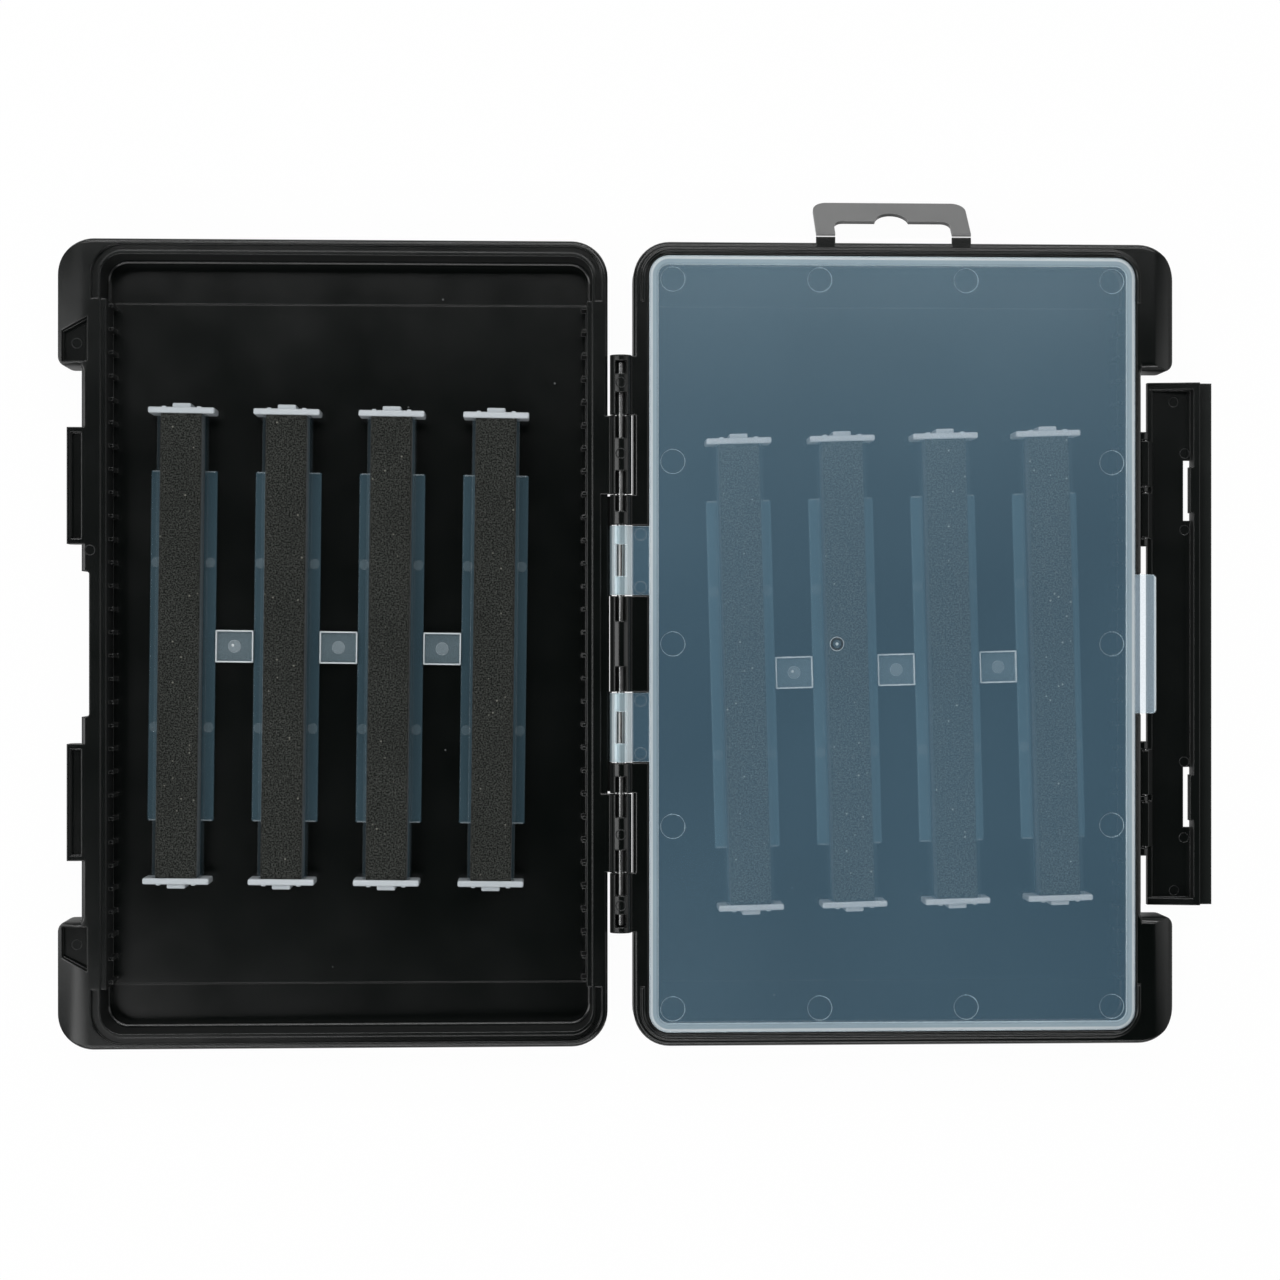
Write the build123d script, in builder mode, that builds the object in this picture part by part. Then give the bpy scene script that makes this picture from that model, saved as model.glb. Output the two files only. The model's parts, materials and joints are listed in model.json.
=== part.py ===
from build123d import *
import os
from math import cos, radians, sin, sqrt

# Lure case with two hinged trays, lying open. The base tray is on the right, the lid tray on the left.
# Sizes are in millimetres. u runs from the hinge axis to the front of either tray, v runs along the
# hinge and z is up. The origin is the centre of the base tray's outer floor face.

# Case
case_length = 205.0
case_thickness = 25.0
rim_gap = 0.2
back_gap = 3.3
base_width = 130.4
lid_overhang = 2.5
ear_depth = 8.5
ear_spacing = 140.0
corner_radius = 9.2
ear_end_radius = 2.7
ear_root_radius = 0.8
floor_thickness = 1.5
floor_step = 0.2
bottom_round = 1.8
rim_round = 1.0
lid_dome_start = 0.5
lid_dome_radius = 28.0
base_dome_start = 2.6
base_dome_radius = 9.0
ear_end_round = 2.2
root = 1.0

# Inner walls, measured inwards from the base tray's outer walls
end_wall = 4.0
back_wall = 3.9
front_wall = 2.3
pocket_radius = 5.5
pocket_foot = 1.0
ledge_width = 1.4
ledge_inset = 15.2
lid_ledge_drop = 0.6
rib_pitch = 5.93
rib_width = 0.9
rib_depth = 1.2
rib_drop = 3.5

# Ridge on the base rim and groove in the lid rim, at the ends and corners only
ridge_end_inset = 1.6
ridge_back_inset = 1.85
ridge_front_inset = 0.3
ridge_width = 1.0
ridge_height = 0.8
groove_clearance = 0.37
groove_depth = 1.2
ridge_radius = 7.6
ridge_round = 0.4

# Inner cover
cover_thickness = 1.0
cover_clearance = 0.35
cover_lift = 0.1
cover_rim_width = 2.3
cover_rim_height = 0.4
cover_radius = 5.1
shelf_depth = 1.6
cover_end_inset = 3.5
cover_back_inset = 4.0
cover_front_inset = 1.6
finger_tab_length = 35.6
finger_tab_reach = 5.5
finger_tab_radius = 1.0
mark_radius = 3.1
mark_depth = 0.1
mark_inset = 6.0
mark_columns = 4
mark_rows = 5
gate_radius = 1.65
gate_offset = -14.4

# Hinge: knuckles and rod
barrel_radius = 2.75
rod_radius = 1.0
rod_clearance = 0.05
rod_end_gap = 0.25
rod_chamfer = 0.2
knuckle_gap = 0.3
window_width = 2.9
end_cap = 1.6
middle_knuckle = 24.6
cover_knuckle = 17.85
inner_base_knuckle = 7.9
lid_knuckle = 20.15
outer_base_knuckle = 15.3
middle_bridge = 11.6
cover_bridge = 4.9
base_bridge = 3.55
lid_window = 5.9
outer_window = 5.7
end_window = 3.3
ring_length = 0.5
relief_half_length = 38.2
relief_width = 1.8
relief_depth = 1.0
skirt_height = 1.5
skirt_low = 2.0
skirt_gap = 2.0
middle_skirt_gap = 2.65

# Latch, with a across it from its hinge axis and b up from it, as it lies open
latch_length = 135.9
latch_axis_gap = 1.7
latch_axis_height = 6.3
latch_pin_radius = 0.75
latch_barrel_radius = 1.35
latch_near = 2.2
latch_lip_start = 13.8
latch_lip_end = 15.5
latch_far = 19.2
latch_under = 6.1
latch_plate = 1.2
latch_near_wall = 1.3
latch_near_top = 3.6
latch_lip_top = 1.6
latch_outer_plate = 1.8
latch_end_wall = 1.8
latch_slot_length = 15.7
latch_slot_width = 1.9
latch_snap_width = 1.2
hook_length = 11.9
hook_width = 0.9
hook_height = 2.7
latch_station = 40.0
lug_length = 29.5
lug_end = 2.0
lug_middle = 1.3
lug_gap = 0.3
lug_radius = 1.5
lug_root = 0.3
latch_round = 0.8

# Catches on the lid
catch_length = 29.5
catch_depth = 3.6
catch_play = 0.7
catch_chamfer = 1.2
catch_wall = 0.9
catch_end_wall = 1.3
catch_pocket = 1.6
lid_recess_depth = 2.0
lid_recess_length = 36.8
lid_recess_radius = 0.8

# Pockets in the lid's ears
ear_pocket_wall = 1.0
ear_pocket_end = 1.5
ear_pocket_back = 7.45
ear_pocket_short = 7.7
ear_pocket_long = 11.25
ear_pocket_depth = 3.0

# Hang tab
tab_width = 39.7
tab_length = 14.1
tab_thickness = 0.9
tab_leg = 4.85
tab_bar = 8.6
tab_bump_radius = 4.4
tab_bump_drop = 0.7
tab_radius = 3.6
tab_slot_radius = 2.4
tab_fold = 48.0
tab_offset = 1.3
tab_stub = 1.45
tab_hinge_gap = 0.3
tab_root = 1.5

# Racks
rack_side_room = 11.15
bar_count = 4
flange_width = 16.9
flange_length = 89.8
flange_thickness = 1.0
flange_radius = 1.2
channel_wall = 0.75
channel_height = 8.0
foam_width = 10.4
foam_length = 118.0
foam_height = 7.5
foam_side_gap = 0.05
plate_width = 16.8
plate_thickness = 1.6
plate_tab_width = 4.7
plate_tab_depth = 1.1
plate_tab_drop = 1.0
tile_length = 8.3
tile_frame = 0.8
tile_frame_height = 0.5
tile_mark_radius = 1.6
rack_lift = 0.05
lid_rack_shift = 3.0
lid_rack_y = -0.95
lid_rack_turn = -0.7
base_rack_shift = 2.55
base_rack_y = -6.7
base_rack_turn = 1.55

# Places that follow from the sizes above
half_length = case_length / 2
tray_height = (case_thickness - rim_gap) / 2
hinge_z = case_thickness / 2
base_front = back_gap + base_width
lid_front = base_front + lid_overhang
ear_front = base_front + ear_depth
ear_inner = ear_spacing / 2
hinge_x = -(back_gap + base_front) / 2
inner_back = back_gap + back_wall
inner_front = base_front - front_wall
inner_half = half_length - end_wall
ledge_half = half_length - ledge_inset
ledge_back = inner_back + ledge_width
ledge_front = inner_front - ledge_width
step_z = floor_thickness - floor_step
tray_middle = (ledge_back + ledge_front) / 2
rack_room = ledge_front - ledge_back - 2 * rib_depth - 2 * rack_side_room
rack_pitch = (rack_room - flange_width) / (bar_count - 1)
shelf_z = tray_height - shelf_depth
cover_z = shelf_z + cover_lift
cover_back = back_gap + cover_back_inset
cover_front = base_front - cover_front_inset
cover_half = half_length - cover_end_inset
latch_u = base_front + latch_axis_gap
bore_radius = rod_radius + rod_clearance

# Ends of the knuckles along the hinge, from the middle outwards
knuckle_ends = [middle_knuckle / 2]
for knuckle in (cover_knuckle, inner_base_knuckle, lid_knuckle, outer_base_knuckle):
    knuckle_ends.append(knuckle_ends[-1] + knuckle)
hinge_end = knuckle_ends[4]
rod_stop = hinge_end - end_cap
rod_half = rod_stop - rod_end_gap

# Openings in the upper half of the knuckles that show the rod, as spans of v on either side
windows = [
    (middle_bridge / 2, knuckle_ends[0]),
    (knuckle_ends[0] + cover_bridge, knuckle_ends[1] - cover_bridge),
    (knuckle_ends[1] + base_bridge, knuckle_ends[2] + lid_window),
    (knuckle_ends[3] - lid_window, knuckle_ends[3] + outer_window),
    (rod_stop - end_window, rod_stop),
]


def tray_plane(side, z):
    """Plane at height z with its origin over the hinge axis, x towards the tray's front."""
    return Plane(origin=(hinge_x, 0, z), x_dir=(side, 0, 0), z_dir=(0, 0, 1))


def across_plane(side, u, v):
    """Upright plane across the hinge, x towards the tray's front and y up, from the floor level."""
    return Plane(origin=(hinge_x + side * u, v, 0), x_dir=(side, 0, 0), z_dir=(0, -side, 0))


def slab(side, u_span, v_span, z_span, mode=Mode.ADD):
    """Box given by its spans along u, v and z."""
    width = u_span[1] - u_span[0]
    length = v_span[1] - v_span[0]
    height = z_span[1] - z_span[0]
    with Locations(tray_plane(side, z_span[0])):
        with Locations(((u_span[0] + u_span[1]) / 2, (v_span[0] + v_span[1]) / 2, height / 2)):
            Box(width, length, height, mode=mode)


def rounded_slab(side, u_span, half, radius, z_span, mode=Mode.ADD):
    """Slab with rounded upright corners, centred along the hinge."""
    with BuildSketch(tray_plane(side, z_span[0])) as outline:
        with Locations(((u_span[0] + u_span[1]) / 2, 0)):
            RectangleRounded(u_span[1] - u_span[0], 2 * half, radius)
    extrude(outline.sketch, amount=z_span[1] - z_span[0], mode=mode)


def tray_outline(side, front):
    """Outline of a tray with its two ears, seen from above."""
    with BuildSketch(tray_plane(side, 0)) as outline:
        with Locations(((back_gap + front) / 2, 0)):
            RectangleRounded(front - back_gap, case_length, corner_radius)
        ear_length = half_length - ear_inner
        ear_start = front - corner_radius
        for end in (-1, 1):
            with Locations(((ear_start + ear_front) / 2, end * (ear_inner + ear_length / 2))):
                Rectangle(ear_front - ear_start, ear_length)
        outer = outline.vertices().filter_by_position(Axis.X, ear_front - 0.01, ear_front + 0.01)
        fillet(outer.sort_by(Axis.Y)[0:1] + outer.sort_by(Axis.Y)[-1:], corner_radius)
        outer = outline.vertices().filter_by_position(Axis.X, ear_front - 0.01, ear_front + 0.01)
        fillet([point for point in outer if abs(abs(point.Y) - ear_inner) < 0.01], ear_end_radius)
        roots = outline.vertices().filter_by_position(Axis.X, front - 0.01, front + 0.01)
        fillet([point for point in roots if abs(abs(point.Y) - ear_inner) < 0.01], ear_root_radius)
    return outline.sketch


def tray_shell(side, front, ledge_z):
    """Hollow tray with rounded outer edges and a ledge on its back and front walls."""
    extrude(tray_outline(side, front), amount=tray_height)
    fillet(faces().sort_by(Axis.Z)[0].edges(), bottom_round)
    fillet(faces().sort_by(Axis.Z)[-1].edges(), rim_round)
    dome_ears(side)
    round_ear_ends(side, front)
    with BuildPart(mode=Mode.PRIVATE) as pocket:
        rounded_slab(side, (inner_back, inner_front), inner_half, pocket_radius, (step_z, tray_height))
        fillet(pocket.faces().sort_by(Axis.Z)[0].edges(), pocket_foot)
    add(pocket.part, mode=Mode.SUBTRACT)
    slab(side, (inner_back, inner_front), (-ledge_half, ledge_half), (step_z, floor_thickness))
    slab(side, (inner_back, ledge_back), (-ledge_half, ledge_half), (step_z, ledge_z))
    slab(side, (ledge_front, inner_front), (-ledge_half, ledge_half), (step_z, ledge_z))


def dome_ears(side):
    """Let the tops of the ears fall away in an arc towards the front."""
    dome_radius = base_dome_radius if side > 0 else lid_dome_radius
    dome_start = base_front + (base_dome_start if side > 0 else lid_dome_start)
    dome_end = ear_front + root
    reach = dome_end - dome_start
    dome_drop = dome_radius - sqrt(dome_radius ** 2 - reach ** 2)
    ear_length = half_length - ear_inner + 2 * root
    for end in (-1, 1):
        with BuildSketch(across_plane(side, 0, end * (ear_inner - root + ear_length / 2))) as above_ear:
            with BuildLine():
                RadiusArc((dome_start, tray_height), (dome_end, tray_height - dome_drop), dome_radius)
                Polyline((dome_end, tray_height - dome_drop), (dome_end, tray_height + root),
                         (dome_start, tray_height + root), (dome_start, tray_height))
            make_face()
        extrude(above_ear.sketch, amount=ear_length / 2, both=True, mode=Mode.SUBTRACT)


def round_ear_ends(side, front):
    """Round the top edge of each ear's inner end."""
    low = tray_height - ear_end_round
    high = tray_height + root
    inside = ear_inner + ear_end_round
    for end in (-1, 1):
        end_plane = Plane(origin=(hinge_x + side * front, 0, 0), x_dir=(0, end, 0), z_dir=(end, 0, 0))
        with BuildSketch(end_plane) as beyond_end:
            with BuildLine():
                RadiusArc((ear_inner, low), (inside, tray_height), ear_end_round)
                Polyline((inside, tray_height), (inside, high), (ear_inner - root, high),
                         (ear_inner - root, low), (ear_inner, low))
            make_face()
        extrude(beyond_end.sketch, amount=side * end * (ear_depth + root), mode=Mode.SUBTRACT)


def wall_ribs(side, ledge_z):
    """Upright ribs that stand against the two ledges."""
    rib_count = int((2 * ledge_half - 2 * rib_width) / rib_pitch) + 1
    with BuildSketch(tray_plane(side, step_z)) as rib_rows:
        for rib_u in (ledge_back + rib_depth / 2, ledge_front - rib_depth / 2):
            with Locations((rib_u, 0)):
                with GridLocations(0, rib_pitch, 1, rib_count):
                    Rectangle(rib_depth, rib_width)
    extrude(rib_rows.sketch, amount=ledge_z - rib_drop - step_z)


def rim_ring(side, z_span, spread, mode):
    """C-shaped run that follows the rim round each end, for the ridge and its groove."""
    back = back_gap + ridge_back_inset - spread
    front = base_front - ridge_front_inset + spread
    half = half_length - ridge_end_inset + spread
    width = ridge_width + 2 * spread
    with BuildSketch(tray_plane(side, z_span[0])) as ring:
        with Locations(((back + front) / 2, 0)):
            RectangleRounded(front - back, 2 * half, ridge_radius + spread)
            RectangleRounded(front - back - 2 * width, 2 * half - 2 * width, ridge_radius + spread - width,
                             mode=Mode.SUBTRACT)
            Rectangle(2 * front, 2 * ledge_half, mode=Mode.SUBTRACT)
    extrude(ring.sketch, amount=z_span[1] - z_span[0], mode=mode)


def barrel(v_span, radius, mode=Mode.ADD):
    """Cylinder on the hinge axis."""
    with BuildSketch(across_plane(1, 0, (v_span[0] + v_span[1]) / 2)) as disc:
        with Locations((0, hinge_z)):
            Circle(radius)
    extrude(disc.sketch, amount=(v_span[1] - v_span[0]) / 2, both=True, mode=mode)


def knuckle_span(index):
    """Ends of a knuckle away from the middle, with half of the gap to each neighbour taken off."""
    return (knuckle_ends[index - 1] + knuckle_gap / 2, knuckle_ends[index] - knuckle_gap / 2)


def mirrored(span):
    """The same span on the other side of the middle."""
    return (-span[1], -span[0])


def cut_windows(spans, depth):
    """Cut from the hinge axis through one half of the barrels, upwards or downwards."""
    with BuildSketch(tray_plane(1, hinge_z)) as window_row:
        for span in spans:
            with Locations((0, (span[0] + span[1]) / 2)):
                Rectangle(window_width, span[1] - span[0])
    extrude(window_row.sketch, amount=depth, mode=Mode.SUBTRACT)


def open_knuckles():
    """Bore for the rod, with the upper and the lower half of the barrels cut away by turns."""
    barrel((-rod_stop, rod_stop), bore_radius, Mode.SUBTRACT)
    bridges = []
    bridge_start = 0
    for span in windows:
        bridges.append((bridge_start, span[0] - ring_length))
        bridge_start = span[1] + ring_length
    depth = barrel_radius + root
    cut_windows(windows + [mirrored(span) for span in windows], depth)
    cut_windows(bridges + [mirrored(span) for span in bridges], -depth)


def tray_knuckles(side, spans):
    """Knuckles that a web joins to the tray's back wall."""
    for span in spans:
        with BuildSketch(across_plane(side, 0, (span[0] + span[1]) / 2)) as knuckle_section:
            with Locations((0, hinge_z)):
                Circle(barrel_radius)
            web_low = hinge_z - barrel_radius
            with Locations(((back_gap + root) / 2, (web_low + tray_height) / 2)):
                Rectangle(back_gap + root, tray_height - web_low)
        extrude(knuckle_section.sketch, amount=(span[1] - span[0]) / 2, both=True)
    open_knuckles()


def latch_plane(v):
    """Upright plane across the latch hinge, x across the open latch and y up, from the latch's axis."""
    return Plane(origin=(hinge_x + latch_u, v, latch_axis_height), x_dir=(1, 0, 0), z_dir=(0, -1, 0))


def latch_disc(v, length, radius, mode=Mode.ADD):
    """Cylinder on the latch's hinge axis."""
    with BuildSketch(latch_plane(v)) as disc:
        Circle(radius)
    extrude(disc.sketch, amount=length / 2, both=True, mode=mode)


def latch_bar(v, length, corners, mode=Mode.ADD):
    """Prism along the latch, from the corners of its section."""
    with BuildSketch(latch_plane(v)) as section:
        Polygon(*corners, align=None)
    extrude(section.sketch, amount=length / 2, both=True, mode=mode)


def box_corners(low, high):
    """Corners of a rectangle from its lowest and highest corner."""
    return [(low[0], low[1]), (high[0], low[1]), (high[0], high[1]), (low[0], high[1])]


# Base tray: shell, shelf for the cover, ridge, knuckles, latch lugs with their pins, tab stubs
with BuildPart() as base_tray:
    tray_shell(1, base_front, shelf_z)
    cover_pocket = (cover_back - cover_clearance, cover_front + cover_clearance)
    rounded_slab(1, cover_pocket, cover_half + cover_clearance, cover_radius + cover_clearance,
                 (shelf_z, tray_height), Mode.SUBTRACT)
    rim_ring(1, (shelf_z, tray_height + ridge_height), 0, Mode.ADD)
    ridge_top = faces().sort_by(Axis.Z)[-2:]
    fillet(ridge_top.edges(), ridge_round)

    # Notches for the cover's hinge lugs and finger tab
    lug_notch = (knuckle_ends[0] - knuckle_gap / 2, knuckle_ends[1] + knuckle_gap / 2)
    for notch in (lug_notch, mirrored(lug_notch)):
        slab(1, (0, cover_back), notch, (shelf_z, tray_height), Mode.SUBTRACT)
    notch_half = finger_tab_length / 2 + cover_clearance
    slab(1, (cover_front, base_front + root), (-notch_half, notch_half), (shelf_z, tray_height), Mode.SUBTRACT)

    base_spans = [(-knuckle_ends[0] + knuckle_gap / 2, knuckle_ends[0] - knuckle_gap / 2)]
    for index in (2, 4):
        base_spans.append(knuckle_span(index))
        base_spans.append(mirrored(knuckle_span(index)))
    tray_knuckles(1, base_spans)

    # Lugs for the latch, each with two end webs, a middle web and a moulded pin
    web_reach = latch_axis_gap + lug_root
    web_corners = box_corners((-web_reach, -lug_radius), (0, lug_radius))
    for station in (-latch_station, latch_station):
        web_offset = (lug_length - lug_end) / 2
        webs = [(-web_offset, lug_end), (0, lug_middle), (web_offset, lug_end)]
        for offset, thickness in webs:
            latch_disc(station + offset, thickness, lug_radius)
            latch_bar(station + offset, thickness, web_corners)
        latch_disc(station, lug_length, latch_pin_radius)

    # Stubs that carry the hang tab
    for leg_u in (-(tab_width - tab_leg) / 2, (tab_width - tab_leg) / 2):
        leg_centre = tab_offset - hinge_x + leg_u
        slab(1, (leg_centre - tab_leg / 2, leg_centre + tab_leg / 2),
             (half_length - tab_root, half_length + tab_stub),
             (tray_height - tab_thickness, tray_height))
    wall_ribs(1, shelf_z)

# Lid tray: shell, groove, relief at the back, recess at the front, catches, ear pockets, knuckles
with BuildPart() as lid_tray:
    tray_shell(-1, lid_front, tray_height - lid_ledge_drop)
    rim_ring(-1, (tray_height - groove_depth, tray_height), groove_clearance, Mode.SUBTRACT)
    slab(-1, (0, back_gap + relief_width), (-relief_half_length, relief_half_length),
         (tray_height - relief_depth, tray_height), Mode.SUBTRACT)

    # Skirt low on the back wall that closes most of the gap below the knuckles
    skirt_top = skirt_low + skirt_height
    middle_skirt = (-knuckle_ends[0], knuckle_ends[0])
    slab(-1, (middle_skirt_gap, back_gap + root), middle_skirt, (skirt_low, skirt_top))
    for skirt in ((knuckle_ends[0], knuckle_ends[2]), (-knuckle_ends[2], -knuckle_ends[0])):
        slab(-1, (skirt_gap, back_gap + root), skirt, (skirt_low, skirt_top))

    recess_front = lid_front - lid_recess_depth
    with BuildSketch(tray_plane(-1, 0)) as recess:
        with Locations((recess_front + ear_depth / 2, 0)):
            RectangleRounded(ear_depth, lid_recess_length, lid_recess_radius)
    extrude(recess.sketch, amount=tray_height, mode=Mode.SUBTRACT)

    # Catches: open boxes whose far side the latch's hooks stand over when the case is shut
    catch_low = case_thickness - (latch_axis_height + latch_lip_start - hook_width - catch_play)
    catch_front = lid_front + catch_depth
    for station in (-latch_station, latch_station):
        with BuildSketch(across_plane(-1, lid_front, station)) as catch_section:
            Polygon((-root, catch_low), (catch_depth - catch_chamfer, catch_low),
                    (catch_depth, catch_low + catch_chamfer), (catch_depth, tray_height),
                    (-root, tray_height), align=None)
        extrude(catch_section.sketch, amount=catch_length / 2, both=True)
        pocket_half = catch_length / 2 - catch_end_wall
        slab(-1, (lid_front, catch_front - catch_wall), (-station - pocket_half, -station + pocket_half),
             (tray_height - catch_pocket, tray_height), Mode.SUBTRACT)

    # Pockets in the ears, with one slanted end
    pocket_front = ear_front - ear_pocket_wall
    pocket_back = ear_front - ear_pocket_back
    for end in (-1, 1):
        pocket_start = ear_inner + ear_pocket_end
        with BuildSketch(tray_plane(-1, tray_height - ear_pocket_depth)) as ear_pocket:
            Polygon((pocket_back, end * pocket_start), (pocket_front, end * pocket_start),
                    (pocket_front, end * (pocket_start + ear_pocket_short)),
                    (pocket_back, end * (pocket_start + ear_pocket_long)), align=None)
        extrude(ear_pocket.sketch, amount=ear_pocket_depth, mode=Mode.SUBTRACT)

    tray_knuckles(-1, [knuckle_span(3), mirrored(knuckle_span(3))])
    wall_ribs(-1, tray_height - lid_ledge_drop)

# Inner cover: plate with a raised rim, hinge lugs, finger tab and round marks
with BuildPart() as inner_cover:
    cover_top = cover_z + cover_thickness
    rim_top = cover_top + cover_rim_height
    rounded_slab(1, (cover_back, cover_front), cover_half, cover_radius, (cover_z, rim_top))
    inside_rim = (cover_back + cover_rim_width, cover_front - cover_rim_width)
    rounded_slab(1, inside_rim, cover_half - cover_rim_width, cover_radius - cover_rim_width,
                 (cover_top, rim_top), Mode.SUBTRACT)
    for span in (knuckle_span(1), mirrored(knuckle_span(1))):
        barrel(span, barrel_radius)
        slab(1, (0, cover_back + cover_rim_width), span, (cover_z, cover_top))
    open_knuckles()
    with BuildSketch(tray_plane(1, cover_z)) as finger_tab:
        tab_back = cover_front - cover_rim_width
        tab_span = finger_tab_reach + cover_rim_width
        with Locations((tab_back + tab_span / 2, 0)):
            RectangleRounded(tab_span, finger_tab_length, finger_tab_radius)
    extrude(finger_tab.sketch, amount=cover_thickness)

    # Round marks: a ring of shallow discs round the edge, and the small gate mark off the middle
    mark_width = cover_front - cover_back - 2 * mark_inset
    mark_length = 2 * (cover_half - mark_inset)
    cover_middle = (cover_back + cover_front) / 2
    with BuildSketch(tray_plane(1, cover_top - mark_depth)) as marks:
        with Locations((cover_middle, 0)):
            with GridLocations(mark_width / (mark_columns - 1), mark_length, mark_columns, 2):
                Circle(mark_radius)
            with GridLocations(mark_width, mark_length / (mark_rows - 1), 2, mark_rows):
                Circle(mark_radius)
            with Locations((gate_offset, 0)):
                Circle(gate_radius)
    extrude(marks.sketch, amount=mark_depth, mode=Mode.SUBTRACT)

# Latch: pan with a raised lip, slots with hooks, and knuckles on the lugs' pins
with BuildPart() as latch:
    plate_top = latch_plate - latch_under
    latch_bar(0, latch_length, box_corners((latch_near, -latch_under), (latch_far, plate_top)))
    latch_bar(0, latch_length, box_corners((latch_near, -latch_under),
                                           (latch_near + latch_near_wall, -latch_near_top)))
    lip_corners = box_corners((latch_lip_start, -latch_under), (latch_lip_end, -latch_lip_top))
    latch_bar(0, latch_length, lip_corners)
    latch_bar(0, latch_length, box_corners((latch_lip_end, -latch_under),
                                           (latch_far, latch_outer_plate - latch_under)))
    for end in (-1, 1):
        latch_bar(end * (latch_length - latch_end_wall) / 2, latch_end_wall,
                  [(latch_near, -latch_under), (latch_lip_end, -latch_under),
                   (latch_lip_end, -latch_lip_top), (latch_lip_start, -latch_lip_top),
                   (latch_near, -latch_near_top)])
    long_edges = edges().filter_by(Axis.Y).group_by(Axis.Z)[0]
    fillet(long_edges, latch_round)
    slot_low = latch_lip_start - latch_slot_width
    snap_half = latch_snap_width / 2
    arm_edge = latch_near + latch_near_wall
    knuckle_length = (lug_length - 2 * lug_end - lug_middle) / 2 - 2 * lug_gap
    knuckle_offset = lug_middle / 2 + lug_gap + knuckle_length / 2
    for station in (-latch_station, latch_station):
        latch_bar(station, latch_slot_length,
                  box_corners((slot_low, -latch_under), (latch_lip_start, plate_top)), Mode.SUBTRACT)
        latch_bar(station, hook_length,
                  box_corners((latch_lip_start - hook_width, -latch_lip_top - hook_height),
                              (latch_lip_start, -latch_lip_top)))
        for offset in (-knuckle_offset, knuckle_offset):
            latch_disc(station + offset, knuckle_length, latch_barrel_radius)
            latch_bar(station + offset, knuckle_length,
                      [(0, latch_barrel_radius), (latch_barrel_radius, latch_barrel_radius),
                       (arm_edge, -latch_near_top), (arm_edge, plate_top), (latch_near, plate_top),
                       (latch_near, -latch_near_top), (snap_half, -latch_barrel_radius)])
            latch_disc(station + offset, knuckle_length, latch_pin_radius + rod_clearance, Mode.SUBTRACT)
            latch_bar(station + offset, knuckle_length,
                      box_corners((-snap_half, -latch_barrel_radius), (snap_half, 0)), Mode.SUBTRACT)

# Hang tab: thin sheet folded down about the end of its stubs, with a slot for a display hook
tab_axis_y = half_length + tab_stub + tab_hinge_gap + tab_thickness / 2
tab_axis_z = tray_height - tab_thickness / 2
fold = radians(tab_fold)
tab_plane = Plane(origin=(tab_offset, tab_axis_y, tab_axis_z), x_dir=(1, 0, 0),
                  z_dir=(0, sin(fold), cos(fold)))
with BuildPart() as hang_tab:
    with BuildSketch(tab_plane) as tab_sheet:
        with Locations((0, tab_length / 2)):
            Rectangle(tab_width, tab_length)
        fillet(tab_sheet.vertices().group_by(Axis.Y)[-1], tab_radius)
        slot_depth = tab_length - tab_bar
        with Locations((0, slot_depth / 2)):
            Rectangle(tab_width - 2 * tab_leg, slot_depth, mode=Mode.SUBTRACT)
        slot_corners = tab_sheet.vertices().filter_by_position(Axis.Y, slot_depth - 0.01, slot_depth + 0.01)
        fillet(slot_corners, tab_slot_radius)
        with Locations((0, slot_depth - tab_bump_drop)):
            Circle(tab_bump_radius, mode=Mode.SUBTRACT)
    extrude(tab_sheet.sketch, amount=tab_thickness / 2, both=True)
    for leg_x in (-(tab_width - tab_leg) / 2, (tab_width - tab_leg) / 2):
        leg_plane = Plane(origin=(tab_offset + leg_x, tab_axis_y, tab_axis_z), x_dir=(0, 1, 0),
                          z_dir=(1, 0, 0))
        with BuildSketch(leg_plane) as leg_end:
            Circle(tab_thickness / 2)
        extrude(leg_end.sketch, amount=tab_leg / 2, both=True)

# Hinge rod
with BuildPart() as hinge_rod:
    barrel((-rod_half, rod_half), rod_radius)
    chamfer(edges().filter_by(GeomType.CIRCLE), rod_chamfer)


def rack_plane(side, shift, y, turn):
    """Plane of a rack's underside, off the tray's middle and turned, as it lies loose there."""
    angle = radians(turn)
    return Plane(origin=(hinge_x + side * (tray_middle + shift), y, floor_thickness + rack_lift),
                 x_dir=(cos(angle), sin(angle), 0), z_dir=(0, 0, 1))


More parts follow.
